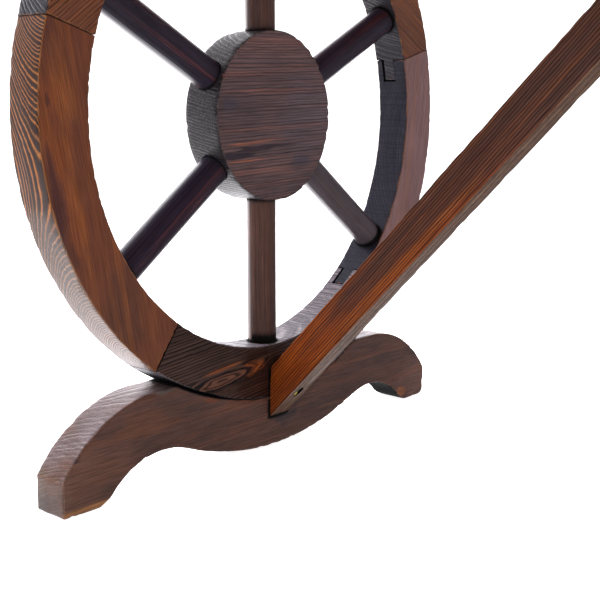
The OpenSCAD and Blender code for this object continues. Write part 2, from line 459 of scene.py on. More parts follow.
def spoke_way(angle):
    a = math.radians(angle)
    return Vector((0, math.sin(a), -math.cos(a)))


def on_spoke(angle, radius):
    return Vector((0, WHEEL_Y, WHEEL_Z)) + radius * spoke_way(angle)


def round_wheel(at):
    """Each point's distance from the wheel's middle, and its angle from straight down."""
    y, z = at[:, 1] - WHEEL_Y, at[:, 2] - WHEEL_Z
    return np.hypot(y, z), np.arctan2(y, -z)


def degrees_past(turn, angle):
    """How far angles in radians are past one in degrees, from -180 to 180."""
    return (np.degrees(turn) - angle + 180) % 360 - 180


def rim_outer(angle, bedded):
    """Outer radius of the rim; the lowest felloe is deeper where it beds in the foot."""
    round_rim = np.full_like(angle, RIM_R)
    if not bedded:
        return round_rim
    dy, dz = np.sin(angle), -np.cos(angle)
    cy, cz = -WHEEL_Y, BED_Z - WHEEL_Z
    b = dy * cy + dz * cz
    reach = b + np.sqrt(np.maximum(b * b - cy * cy - cz * cz + BED_R * BED_R, 0))
    return np.maximum(round_rim, reach)


def felloe_cutters(i):
    """What is taken out of a felloe: round its tongue, its slot and the holes in it."""
    a0, a1 = JOINT_AT[i], JOINT_AT[i + 1]
    past, shoulder = a0 - TONGUE_DEG - 1, a0 + JOINT_DEG
    low, high = RIM_IN - 0.01, RIM_R + 0.02
    tongue_top = RIM_IN + TONGUE_H
    cutters = [
        sector(past, shoulder, low, high, -RIM_T, TONGUE_X[0]),
        sector(past, shoulder, low, high, TONGUE_X[1], RIM_T),
        sector(past, shoulder, tongue_top, high, -RIM_T, RIM_T),
        sector(a1 - TONGUE_DEG - SLOT_DEG, a1 + 1, low, tongue_top + 2 * CLEAR, *SLOT_X),
    ]
    for angle in SPOKE_AT:
        if a0 < angle < a1:
            end = on_spoke(angle, RIM_IN + SOCKET_DEEP)
            cutters.append(rod(on_spoke(angle, low), end, SOCKET_R))
    if i == 0:
        cutters += [rod((0, y, 0.02), (0, y, SHANK_TOP), SHANK_R, 16) for y in WHEEL_SCREW_Y]
    return cutters


def make_felloe(side, i, look):
    a0, a1 = JOINT_AT[i], JOINT_AT[i + 1]
    middle = RIM_R - RIM_W / 2
    start = math.radians(a0 - TONGUE_DEG)
    length = middle * (math.radians(a1) - start)
    points, faces, edge = block((length, RIM_T, RIM_W), 0.0013, (0.004, 0.005, 0.005))
    angle = start + points[:, 0] / middle
    radius = between(points[:, 2], RIM_IN, rim_outer(angle, i == 0), RIM_W)
    points = np.column_stack((
        points[:, 1] - RIM_T / 2,
        WHEEL_Y + radius * np.sin(angle),
        WHEEL_Z - radius * np.cos(angle),
    ))
    item = mesh_object(f"{side}_rim_{FELLOES[i]}", points, faces, edge)

    def in_foot(at):
        radius, turn = round_wheel(at)
        return (radius - RIM_R + 0.002) / 0.001 * (np.abs(np.degrees(turn)) < BED_DEG)

    wear_surface(item, 3.1 * i + (7 if side == "right" else 0), RIM_LOG[i][1], wave=0.0006,
                 nick=0.002, calm=in_foot)
    cut_away(item, felloe_cutters(i))

    def grime_and_shade(at):
        """Dark joints, darker rings round the spoke sockets, painted shade where the lowest felloe
        beds in the foot, and a painted shadow beside the brace.
        """
        radius, turn = round_wheel(at)
        dark_grime_and_shade = np.zeros(len(at))
        for joint in (a0, a1):
            dark_grime_and_shade = np.maximum(dark_grime_and_shade, 0.7 - np.abs(degrees_past(turn, joint)) / 0.45)
        inside = np.clip(1 - (radius - RIM_IN) / 0.004, 0, 1)
        for angle in SPOKE_AT:
            along = RIM_IN * np.radians(degrees_past(turn, angle))
            off = np.hypot(at[:, 0], along) - SPOKE_R
            dark_grime_and_shade = np.maximum(dark_grime_and_shade, inside * (0.8 - off / 0.008))
        if i == 0:
            # painted shade where the lowest felloe sits in the foot's bed
            in_bed = np.clip((BED_DEG - np.abs(np.degrees(turn))) / 10, 0, 1)
            dark_grime_and_shade = np.maximum(dark_grime_and_shade, in_bed * (1.3 - (rim_outer(turn, True) - radius) / 0.0014))
            dark_grime_and_shade = np.maximum(dark_grime_and_shade, shadow_beside_brace(at))
        return dark_grime_and_shade

    def scorch_and_sheen(at):
        """The two round faces were charred and brushed; the flat ones were sanded. On the lowest
        felloe the pale round faces are a painted sheen.
        """
        radius, turn = round_wheel(at)
        off = np.minimum(radius - RIM_IN, rim_outer(turn, i == 0) - radius)
        return 1.4 - off / CHAR_DEEP

    finish_piece(item, side, RIM_LOG[i], look, f"{side}_felloe_{FELLOES[i]}",
                 grime_and_shade, scorch_and_sheen)


def make_hub(side, look):
    half, ease = HUB_T / 2, 0.0012
    rings, rows = 24, 9
    face = [(-half, HUB_R * k / rings, HUB_R * (1 - k / rings)) for k in range(rings - 1)]
    face += [(-half, HUB_R - 2 * ease, 2 * ease), (-half, HUB_R - ease, ease),
             (-half + ease * 0.3, HUB_R - ease * 0.3, 0.0)]
    rim = [(-half + ease + (HUB_T - 2 * ease) * k / rows, HUB_R,
            ease + min(k, rows - k) * HUB_T / rows) for k in range(rows + 1)]
    back = [(-x, radius, near) for x, radius, near in reversed(face)]
    points, faces, edge = lathe(face + rim + back, 160)
    points = points + np.array((0, WHEEL_Y, WHEEL_Z))
    item = mesh_object(f"{side}_hub_disc", points, faces, edge)
    wear_surface(item, 21 if side == "left" else 33, (0, 1, 0), wave=0.0006, nick=0.004, cell=0.03)
    cut_away(item, [rod(on_spoke(a, HUB_R - HUB_SOCKET), on_spoke(a, HUB_R + 0.01), SOCKET_R)
                    for a in SPOKE_AT])

    def scorch_and_sheen(at):
        """The round side was charred and brushed."""
        return 1.4 - (HUB_R - round_wheel(at)[0]) / CHAR_DEEP

    finish_piece(item, side, HUB_LOG, look, f"{side}_hub", None, scorch_and_sheen)


def make_spoke(side, i, look):
    """A dowel that was shaved by hand, so that it isn't quite round."""
    angle = SPOKE_AT[i - 1]
    inner, outer = HUB_R - HUB_SOCKET + CLEAR, RIM_IN + SOCKET_DEEP - CLEAR
    length = outer - inner
    rows, ease = 64, 0.001
    profile = [(0, 0, 0), (0, SPOKE_R - ease, 0), (ease, SPOKE_R, 0)]
    for k in range(1, rows):
        at = length * k / rows
        profile.append((at, SPOKE_R, max(0, min(at - HUB_SOCKET, length - SOCKET_DEEP - at))))
    profile += [(length - ease, SPOKE_R, 0), (length, SPOKE_R - ease, 0), (length, 0, 0)]
    points, faces, edge = lathe(profile, 40)
    turned = np.arctan2(points[:, 2], points[:, 1])
    shaved = 1 - 0.010 * (0.5 + 0.5 * np.cos(7 * turned + points[:, 0] * 9 + i))
    points[:, 1:] *= shaved[:, None]
    turn = np.array(spoke_way(angle).to_track_quat("X", "Z").to_matrix())
    points = points @ turn.T + np.array(on_spoke(angle, inner))
    item = mesh_object(f"{side}_spoke_rod_{i}", points, faces, edge)
    wear_surface(item, 5.3 * i, spoke_way(angle), wave=0.0002)
    pith = on_spoke(angle, 0) + Vector((0.03, 0, 0))

    def grime_and_shade(at):
        """Darker in a ragged band where the spoke enters the rim, and in a thin dark ring at the
        hub.
        """
        off = at - np.array(on_spoke(angle, 0))
        out = off @ np.array(spoke_way(angle))
        around = np.arctan2(off @ turn[:, 1], at[:, 0])
        ragged = 0.5 + 0.3 * np.sin(7 * around + i) + 0.2 * np.sin(17 * around + 2 * i)
        at_rim = 1.2 - np.maximum(RIM_IN - out, 0) / (0.004 + 0.010 * ragged ** 2)
        at_hub = 0.75 - np.maximum(out - HUB_R, 0) / 0.004
        return np.maximum(at_rim, at_hub)

    finish_piece(item, side, (pith, spoke_way(angle)), look,
                 f"{side}_spoke_{i}", grime_and_shade)


# ---- Foot, bearer, brace, batten and top ----

def crest_height(y):
    """Height of the foot's top line before the wheel's saddle is cut."""
    past = np.clip(np.abs(y) - CREST_Y, 0, CREST_R * 0.99)
    return FOOT_H - CREST_R + np.sqrt(CREST_R ** 2 - past ** 2)


def circle_low(y, centre_y, centre_z, radius):
    """Lower edge of a circle at each y, and a great height where it doesn't reach."""
    inside = radius ** 2 - (y - centre_y) ** 2
    return np.where(inside > 0, centre_z - np.sqrt(np.maximum(inside, 0)), 9.0)


def foot_under(y):
    """Underside of the foot: a belly, two arches and two flat toes with eased corners."""
    rise = ARCH_H - BELLY_Z
    arch_y = math.sqrt(2 * rise * (BELLY_R + ARCH_R) - rise ** 2)
    belly_edge = arch_y * BELLY_R / (BELLY_R + ARCH_R)
    belly = BELLY_Z + BELLY_R - np.sqrt(BELLY_R ** 2 - np.minimum(np.abs(y), belly_edge) ** 2)
    inside = ARCH_R ** 2 - (np.abs(y) - arch_y) ** 2
    arch = ARCH_H - ARCH_R + np.sqrt(np.maximum(inside, 0))
    toe_in = arch_y + math.sqrt(ARCH_R ** 2 - (ARCH_R - ARCH_H) ** 2)
    before, after, slope = TOE_EASE
    ease = np.where(np.abs(y) > toe_in - before, slope * (toe_in + after - np.abs(y)), 0)
    past = np.clip(y - (FOOT_L / 2 - TOE_R), 0, TOE_R * 0.98)
    worn = TOE_R - np.sqrt(TOE_R ** 2 - past ** 2)
    toe = np.maximum.reduce((arch, ease, worn))
    return np.where(np.abs(y) < belly_edge, belly, np.maximum(toe, 0))


def shadow_beside_brace(at):
    """A painted contact shadow on the inner face, round the lower end of the brace."""
    out = np.hypot(np.maximum(np.abs(at[:, 1]) - BRACE_T / 2, 0),
                   np.maximum(np.abs(at[:, 2] - BRACE_Z[0]) - BRACE_END_H / 2, 0))
    return (at[:, 0] > RIM_T / 2 - 0.001) * (0.95 - out / 0.005)


def profile_board(name, low, high):
    """A board as long as a foot, from a height found from y up to one from x and y."""
    full = 0.06
    points, faces, edge = block((FOOT_L, RIM_T, full), 0.0022, (0.004, 0.005, 0.006))
    x, y = points[:, 1] - RIM_T / 2, points[:, 0] - FOOT_L / 2
    points = np.column_stack((x, y, between(points[:, 2], low(y), high(x, y), full)))
    return mesh_object(name, points, faces, edge)


def make_foot(side, look):
    def top(x, y):
        """The saddle's gap closes towards the wheel's outer side."""
        gap = -CLEAR + SADDLE_GAP * (x / RIM_T + 0.5)
        saddle = np.minimum(circle_low(y, WHEEL_Y, WHEEL_Z, RIM_R + gap),
                            circle_low(y, 0, BED_Z, BED_R))
        return np.minimum(crest_height(y), saddle)

    def in_saddle(at):
        return (RIM_R + 0.004 - round_wheel(at)[0]) / 0.002

    item = profile_board(f"{side}_foot_board", foot_under, top)
    wear_surface(item, 41 if side == "left" else 57, (0, 1, 0), wave=0.0008, nick=0.003,
                 calm=in_saddle)
    cut_away(item, [rod((0, y, -0.02), (0, y, FOOT_POCKET), POCKET_R, 24) for y in WHEEL_SCREW_Y])

    def grime_and_shade(at):
        """Painted shade, black in the saddle and on the top beside it and dark under the arches,
        and a painted shadow beside the brace.
        """
        out = round_wheel(at)[0] - RIM_R
        # painted shade in the saddle, fading out along the top beside it
        saddle = 1.3 - np.maximum(out - 0.001, 0) / 0.003
        on_top = np.clip(1 - (crest_height(at[:, 1]) - at[:, 2]) / 0.002, 0, 1)
        dark_grime_and_shade = np.maximum(saddle, on_top * (0.9 - out / 0.016))
        # painted shade on the undersides of the arches
        under = at[:, 2] - foot_under(at[:, 1])
        under = (under < 0.001) * (np.abs(at[:, 0]) < RIM_T / 2 - 0.001)
        arch = under * (np.abs(at[:, 1]) - 0.150) / 0.030
        return np.maximum.reduce((dark_grime_and_shade, np.minimum(arch, 1), shadow_beside_brace(at)))

    def scorch_and_sheen(at):
        """The curved top is charred a little, and its pale lilac-grey is a painted sheen of the
        light from above.
        """
        return 0.7 - np.abs(at[:, 2] - crest_height(at[:, 1])) / 0.003

    finish_piece(item, side, FOOT_LOG, look, f"{side}_foot", grime_and_shade, scorch_and_sheen)


def make_bearer(side, look):
    def under(y):
        saddle = 2 * WHEEL_Z - circle_low(y, WHEEL_Y, WHEEL_Z, RIM_R + CLEAR)
        saddle = np.where(saddle > 0, saddle, 0)
        return np.maximum(UNDER_TOP - crest_height(y), saddle)

    item = profile_board(f"{side}_bearer_board", under, lambda x, y: np.full_like(y, UNDER_TOP))
    wear_surface(item, 71 if side == "left" else 83, (0, 1, 0), wave=0.0005, nick=0.002)
    cut_away(item, [rod((0, y, UNDER_TOP - 0.2), (0, y, TOP_POCKET), POCKET_R, 24)
                    for y in BEARER_SCREW_Y])
    finish_piece(item, side, BEARER_LOG, look, f"{side}_bearer")


def brace_middle(x):
    """Height of the brace's middle line."""
    return BRACE_Z[0] + BRACE_SLOPE * (x - BRACE_X[0])


def make_brace(side, look):
    run = BRACE_X[1] - BRACE_X[0]
    points, faces, edge = block((run, BRACE_T, BRACE_END_H), 0.0012, (0.006, 0.005, 0.005))
    points = np.column_stack((
        points[:, 0] + BRACE_X[0],
        points[:, 1] - BRACE_T / 2,
        BRACE_Z[0] + BRACE_SLOPE * points[:, 0] - BRACE_END_H / 2 + points[:, 2],
    ))
    item = mesh_object(f"{side}_brace_bar", points, faces, edge)
    wear_surface(item, 91 if side == "left" else 97, Vector((1, 0, BRACE_SLOPE)).normalized(),
                 wave=0.0005, nick=0.002)
    head, screw_z = BRACE_X[0] + BRACE_SCREW[0], BRACE_Z[0] + BRACE_SCREW[1]
    far_head, far_z = BRACE_X[0] + BRACE_X[1] - head, BRACE_Z[0] + BRACE_Z[1] - screw_z
    cut_away(item, [
        rod((head - BRACE_POCKET, 0, screw_z), (head + 0.06, 0, screw_z), POCKET_R, 32),
        rod((far_head + BRACE_POCKET, 0, far_z), (far_head - 0.06, 0, far_z), POCKET_R, 32),
    ])

    def scorch_and_sheen(at):
        """The underside was left rough and grey."""
        return 1.2 - (at[:, 2] - brace_middle(at[:, 0]) + BRACE_END_H / 2) / CHAR_DEEP

    finish_piece(item, side, BRACE_LOG, look, f"{side}_brace", None, scorch_and_sheen)


def make_plank(name, node, radius, steps, seed, pith_down):
    """A straight board along its longest side, in the box of its CAD node, and its log."""
    low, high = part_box(node)
    points, faces, edge = block(tuple(high - low), radius, steps)
    item = mesh_object(name, points + np.array(low), faces, edge)
    along_x = high.x - low.x > high.y - low.y
    grain = Vector((1, 0.004 * (seed % 5 - 2), 0)) if along_x else Vector((0, 1, 0.01))
    wear_surface(item, seed, grain, wave=0.0006, nick=0.002, cell=0.04)
    centre = (low + high) / 2
    pith = centre + Vector((0, 0.015 * (seed % 7 - 3), -pith_down))
    return item, (pith, grain)


def make_batten(look):
    item, log = make_plank("centre_batten_board", "centre_batten", 0.0018,
                           (0.005, 0.006, 0.005), 11, 0.09)
    pitch = board_hi.y - board_lo.y + BOARD_GAP
    cut_away(item, [rod((0, y, batten_lo.z - 0.01), (0, y, TOP_POCKET), POCKET_R, 24)
                    for y in [0.9 * i * pitch for i in range(-2, 3)]])
    finish_piece(item, None, log, look, "centre_batten")


def make_top_board(i, look):
    item, log = make_plank(f"top_plank_{i}", f"top_board_{i}", 0.002, (0.012, 0.008, 0.006),
                           3 * i + 1, 0.045 + 0.03 * (i % 3))
    finish_piece(item, None, log, look, f"top_board_{i}")


# ---- Materials ----

class Wiring:
    """Short ways to wire the nodes of a material, or of the world.

    A value may be a number, a colour or another node's socket.
    """

    def __init__(self, owner):
        owner.use_nodes = True
        self.owner = owner
        self.tree = owner.node_tree
        kind = "Background" if isinstance(owner, bpy.types.World) else "Principled BSDF"
        self.shader = self.tree.nodes[kind]

    def surface(self, name, value):
        self.feed(self.shader.inputs[name], value)

    def node(self, kind, settings=None, **inputs):
        node = self.tree.nodes.new("ShaderNode" + kind)
        for key, value in (settings or {}).items():
            setattr(node, key, value)
        for key, value in inputs.items():
            self.feed(node.inputs[key], value)
        return node

    def feed(self, socket, value):
        if isinstance(value, bpy.types.NodeSocket):
            self.tree.links.new(value, socket)
        elif isinstance(value, (tuple, list)) and len(value) == 3 and socket.type == "RGBA":
            socket.default_value = (*value, 1)
        else:
            socket.default_value = value

    def math(self, operation, *values):
        node = self.node("Math", {"operation": operation})
        for socket, value in zip(node.inputs, values):
            self.feed(socket, value)
        return node.outputs["Value"]

    def plus(self, first, second):
        return self.math("ADD", first, second)

    def minus(self, first, second):
        return self.math("SUBTRACT", first, second)

    def times(self, first, second):
        return self.math("MULTIPLY", first, second)

    def sway(self, value, width):
        """Moves a value from 0 to 1 to lie evenly about 0, over this width."""
        return self.times(self.minus(value, 0.5), width)

    def vector(self, operation, *values):
        node = self.node("VectorMath", {"operation": operation})
        for socket, value in zip(node.inputs, values):
            self.feed(socket, value)
        return node.outputs["Value" if operation in ("LENGTH", "DOT_PRODUCT") else "Vector"]

    def stretch(self, place, along):
        """Draws a pattern out along the grain."""
        return self.vector("MULTIPLY", place, (1.0, 1.0, along))

    def attribute(self, name, output="Fac"):
        return self.node("Attribute", {"attribute_name": name}).outputs[output]

    def noise(self, place, scale, detail=2.0, rough=0.55, shift=0.0):
        moved = self.vector("ADD", place, (shift, 2 * shift, 3 * shift))
        node = self.node("TexNoise", None, Vector=moved, Scale=scale, Detail=detail,
                         Roughness=rough)
        return node.outputs["Fac"]

    def line_noise(self, value, scale, detail=1.0):
        node = self.node("TexNoise", {"noise_dimensions": "1D"}, W=value, Scale=scale,
                         Detail=detail)
        return node.outputs["Fac"]

    def fade(self, value, low, high, to_low=0.0, to_high=1.0):
        """A smooth step from to_low at low to to_high at high."""
        node = self.node("MapRange", {"interpolation_type": "SMOOTHSTEP"})
        for key, number in (("Value", value), ("From Min", low), ("From Max", high),
                            ("To Min", to_low), ("To Max", to_high)):
            self.feed(node.inputs[key], number)
        return node.outputs["Result"]

    def mix(self, amount, first, second, blend="MIX"):
        node = self.node("Mix", {"data_type": "RGBA", "blend_type": blend})
        self.feed(node.inputs["Factor"], amount)
        colours = [socket for socket in node.inputs if socket.type == "RGBA"]
        self.feed(colours[0], first)
        self.feed(colours[1], second)
        return next(socket for socket in node.outputs if socket.type == "RGBA")

    def shade(self, colour, value):
        """Multiplies a colour by a number."""
        grey = self.node("CombineColor", None, Red=value, Green=value, Blue=value)
        return self.mix(1.0, colour, grey.outputs["Color"], "MULTIPLY")

    def ramp(self, value, stops):
        node = self.node("ValToRGB", None, Fac=value)
        elements = node.color_ramp.elements
        while len(elements) < len(stops):
            elements.new(0.5)
        for element, (at, grey) in zip(elements, stops):
            element.position = at
            element.color = (grey, grey, grey, 1)
        return node.outputs["Color"]

    def bump(self, height):
        node = self.node("Bump", None, Height=height, Distance=1.0, Strength=1.0)
        self.surface("Normal", node.outputs["Normal"])


# From one ring's start to the next: how far it is autumn wood, and how pale when charred
RING = ((0.0, 0.10), (0.12, 0.0), (0.52, 0.05), (0.70, 0.75), (0.80, 1.0), (0.93, 1.0),
        (1.0, 0.10))
BURNT_RING = ((0.0, 0.30), (0.14, 0.0), (0.64, 0.04), (0.80, 1.0), (0.92, 1.0), (1.0, 0.30))


class Wood:
    """How one kind of board looks. Colours are linear, and lengths are in metres."""
    early = (0.20, 0.060, 0.020)  # soft spring wood
    late = (0.055, 0.018, 0.010)  # hard autumn lines
    streak = (0.30, 0.090, 0.020)  # paler runs along the grain
    streaks = 0.5
    char = (0.012, 0.008, 0.008)  # scorched and dirty blotches
    charred = 0.3
    soot_and_sheen = (0.022, 0.020, 0.022)  # spring wood where the face is charred; in pale looks, a painted sheen
    ember_and_sheen = (0.075, 0.060, 0.060)  # autumn lines where it is charred; in pale looks, a painted sheen
    worn = (0.30, 0.12, 0.04)  # rubbed edges
    wear = 0.6
    ring = 0.0030  # from one autumn line to the next
    contrast = 0.9
    wander = 0.010  # how far slow waves move the rings
    relief = 0.00035
    rough = (0.50, 0.36)  # of spring wood and autumn wood
    shine = 0.3
    blotch = 17.0  # blotches to the metre
    uneven = 2.4  # how much the width of the rings varies
    faint = 0.45  # strength of the weakest rings
    sawn = 0.0  # strength of saw marks where the wood is charred
    speckle = 0.25  # strength of the fine crazing there
    heart = (0.22, 0.075, 0.030)  # inside a knot
    knots = ()  # place in the log, half length, half width
    patches = ()  # place, half length, half width, colour, amount
    painted_reflections = ()  # pale painted reflections, listed like the patches, where the wood is charred
    # black, for dark joints and for painted shade
    dark_grime_and_shade = (0.003, 0.003, 0.003)
    rind = (0.006, 0.005, 0.006)  # dark border of a knot

    def __init__(self, name, seed, changes):
        """The seed moves the figure along the log, for another piece of the same wood."""
        for key, value in changes.items():
            setattr(self, key, value)
        self.seed = seed
        self.w = Wiring(bpy.data.materials.new(name))

    def build(self):
        w = self.w
        self.lay_figure()
        colour = w.mix(self.burnt_and_sheen, self.sanded_colour(), self.charred_and_sheen_colour())
        colour = w.shade(colour, w.fade(self.fibre, 0.25, 0.75, 0.70, 1.30))
        if self.knots:
            colour = w.mix(w.times(self.at_rind, 0.92), colour, self.rind)
        ragged = w.times(w.noise(self.drawn_out, 300.0, 3.0, 0.6, 13.0), 0.0050)
        edge = w.plus(w.attribute("edge"), ragged)
        colour = w.mix(w.fade(edge, 0.0022, 0.0042, self.wear, 0.0), colour, self.worn)
        # dark joints, and painted shade in creases, in recesses, under the arches and beside the
        # brace
        grime_and_shade = w.plus(w.attribute("grime_and_shade"), w.sway(self.fibre, 0.6))
        # faces cut inside sockets, slots and pockets turn black: painted shade in the recesses
        grime_and_shade = w.math("MAXIMUM", grime_and_shade, w.minus(1.0, w.attribute("skin")))
        grime_and_shade_amount = w.fade(grime_and_shade, 0.12, 0.75)
        w.surface("Base Color", w.mix(grime_and_shade_amount, colour, self.dark_grime_and_shade))

        rough = w.plus(w.fade(self.line, 0.0, 1.0, *self.rough), w.sway(self.fibre, 0.16))
        w.surface("Roughness", w.math("MAXIMUM", rough, grime_and_shade_amount))
        w.surface("Specular IOR Level", self.shine)
        w.bump(self.height())
        return w.owner

    def lay_figure(self):
        """Works out the rings, fibres and saw marks, and how far the wood is charred, with a pale
        painted sheen on some pieces.
        """
        w = self.w
        place = w.vector("ADD", w.attribute("grain", "Vector"), (0.0, 0.0, self.seed))
        self.place = place
        self.drawn_out = w.stretch(place, 0.09)
        self.long_fibre = w.stretch(place, 0.03)
        slow = w.noise(self.drawn_out, 16.0, 2.0, 0.5, 3.1)
        quick = w.noise(w.stretch(place, 0.3), 110.0, 2.0, 0.6, 1.7)
        depth = w.plus(w.vector("LENGTH", w.stretch(place, 0.0)), w.sway(slow, self.wander))
        depth = w.plus(depth, w.sway(quick, self.ring * 0.75))
        count = w.math("DIVIDE", self.bend_round_knots(depth), self.ring)
        count = w.plus(count, w.times(w.line_noise(count, 0.23), self.uneven))
        self.phase = w.math("FRACT", count)
        self.own = w.line_noise(w.math("FLOOR", count), 0.77, 0.0)
        line = w.ramp(self.phase, RING)
        self.line = w.times(line, w.fade(self.own, 0.25, 0.65, self.faint, 1.0))

        self.fibre = w.noise(self.long_fibre, 900.0, 2.0, 0.6, 5.3)
        self.crumb = w.noise(w.stretch(place, 0.5), 480.0, 3.0, 0.6, 17.9)
        along = w.node("SeparateXYZ", None, Vector=place).outputs["Z"]
        along = w.plus(along, w.times(w.noise(place, 45.0, 2.0, 0.5, 2.3), 0.006))
        self.saw = w.fade(w.line_noise(along, 420.0, 2.0), 0.35, 0.62)
        # charred faces, and on some pieces a pale painted sheen
        self.burnt_and_sheen = w.fade(w.plus(w.attribute("scorch_and_sheen"), w.sway(slow, 0.5)), 0.25, 0.75)

    def sanded_colour(self):
        w = self.w
        ground = self.add_patches(self.early, self.patches)
        blotch = w.noise(w.stretch(self.place, 0.4), self.blotch, 4.0, 0.6, 11.3)
        ground = w.mix(w.fade(blotch, 0.42, 0.66, 0.0, self.charred), ground, self.char)
        runs = w.noise(self.long_fibre, 95.0, 3.0, 0.6, 7.7)
        runs = w.fade(runs, 0.47, 0.68, 0.0, self.streaks)
        runs = w.times(runs, w.minus(1.0, w.times(self.line, 0.7)))
        ground = w.mix(runs, ground, self.streak)
        if self.knots:
            ground = w.mix(self.at_heart, ground, self.heart)
        return w.mix(w.times(self.line, self.contrast), ground, self.late)

    def charred_and_sheen_colour(self):
        """Pale autumn lines on charred spring wood, with saw marks and fine crazing; in pale looks
        the whole is a painted sheen.
        """
        w = self.w
        glow = w.times(w.ramp(self.phase, BURNT_RING), w.fade(self.own, 0.2, 0.6, 0.5, 1.0))
        colour = self.add_patches(w.mix(glow, self.soot_and_sheen, self.ember_and_sheen), self.painted_reflections)
        colour = w.shade(colour, w.fade(self.saw, 0.0, 1.0, 1.0 - self.sawn, 1.0))
        return w.shade(colour, w.fade(self.crumb, 0.35, 0.62, 1.0 - self.speckle, 1.0))

    def height(self):
        """Height for the bump: autumn lines lie low, and fibres and pores stand out."""
        w = self.w
        pores = w.noise(self.long_fibre, 2600.0, 1.0, 0.5, 9.1)
        height = w.times(self.line, -self.relief)
        height = w.plus(height, w.times(self.fibre, self.relief * 0.45))
        height = w.plus(height, w.times(pores, self.relief * 0.15))
        height = w.plus(height, w.times(w.times(self.saw, self.burnt_and_sheen), self.relief * self.sawn))
        crazing = w.times(w.times(self.crumb, self.burnt_and_sheen), self.relief * self.speckle * 2.5)
        return w.plus(height, crazing)

    def add_patches(self, colour, patches):
        """Tints the wood in a few places, with ragged borders."""
        w = self.w
        for (x, y, z), long, wide, tint, amount in patches:
            off = w.vector("SUBTRACT", self.place, (x, y, z + self.seed))
            off = w.vector("MULTIPLY", off, (1 / wide, 1 / wide, 1 / long))
            ragged = w.minus(w.noise(off, 1.6, 3.0, 0.6), 0.5)
            near = w.plus(w.vector("LENGTH", off), ragged)
            colour = w.mix(w.fade(near, 0.55, 1.1, amount, 0.0), colour, tint)
        return colour

    def bend_round_knots(self, depth):
        """Bends the rings round each knot, and notes where the knots' hearts and rinds are."""
        w = self.w
        heart = rind = 0.0
        for (x, y, z), long, wide in self.knots:
            off = w.vector("SUBTRACT", self.place, (x, y, z + self.seed))
            off = w.vector("MULTIPLY", off, (0.35 / wide, 1 / wide, 1 / long))
            near = w.plus(w.vector("LENGTH", off), w.sway(w.noise(off, 1.8, 2.0, 0.5), 0.45))
            own = math.hypot(x, y)
            bent = w.times(w.minus(depth, own), w.fade(near, 0.6, 2.6))
            swell = w.fade(near, 0.0, 2.4, 5.5 * self.ring, 0.0)
            depth = w.plus(w.plus(own, bent), swell)
            heart = w.math("MAXIMUM", heart, w.fade(near, 0.75, 0.95, 1.0, 0.0))
            border = w.math("ABSOLUTE", w.minus(near, 0.98))
            rind = w.math("MAXIMUM", rind, w.fade(border, 0.06, 0.24, 1.0, 0.0))
            rind = w.math("MAXIMUM", rind, w.fade(near, 0.14, 0.30, 0.8, 0.0))
        self.at_heart, self.at_rind = heart, rind
        return depth


def metal(name, colour, rough, shiny=1.0):
    """Screw metal, slightly scratched and dulled."""
    w = Wiring(bpy.data.materials.new(name))
    place = w.node("TexCoord").outputs["Object"]
    patches = w.noise(place, 900.0, 3.0, 0.6)
    scratches = w.noise(w.vector("MULTIPLY", place, (0.15, 1.0, 1.0)), 4000.0, 2.0, 0.6)
    dull = tuple(0.55 * channel for channel in colour)
    w.surface("Base Color", w.mix(w.fade(patches, 0.45, 0.7), colour, dull))
    w.surface("Roughness", w.plus(rough, w.times(patches, 0.25)))
    w.surface("Metallic", shiny)
    w.bump(w.times(scratches, 0.00004))
    return w.owner


def dowel_wood():
    """Plain pale dowels, hidden inside the joints."""
    w = Wiring(bpy.data.materials.new("dowel_beech"))
    fibre = w.noise(w.node("TexCoord").outputs["Object"], 900.0, 3.0, 0.6)
    w.surface("Base Color", w.mix(fibre, (0.42, 0.25, 0.12), (0.62, 0.42, 0.24)))
    w.surface("Roughness", w.fade(fibre, 0.0, 1.0, 0.5, 0.7))
    w.bump(w.times(fibre, 0.0002))
    return w.owner


# ---- Looks of the boards ----

def in_log(point, log):
    """The place in a log, as finish_piece stores it, of a point of the end's own frame."""
    pith, grain = log
    turn = Vector(grain).to_track_quat("Z", "Y").to_matrix().inverted()
    return tuple(turn @ (Vector(point) - Vector(pith)))


def rim_spot(i, y, z, x=RIM_T / 2):
    return in_log((x, y, z), RIM_LOG[i])


def hub_spot(y, z):
    return in_log((HUB_T / 2, y, z), HUB_LOG)


def foot_spot(y, z, x=RIM_T / 2):
    return in_log((x, y, z), FOOT_LOG)


def brace_spot(part, up):
    """A spot on the brace's side, a part of the way to its top end and up from its middle."""
    x = BRACE_X[0] + part * (BRACE_X[1] - BRACE_X[0])
    z = BRACE_Z[0] + part * (BRACE_Z[1] - BRACE_Z[0]) + up
    return in_log((x, -BRACE_T / 2, z), BRACE_LOG)


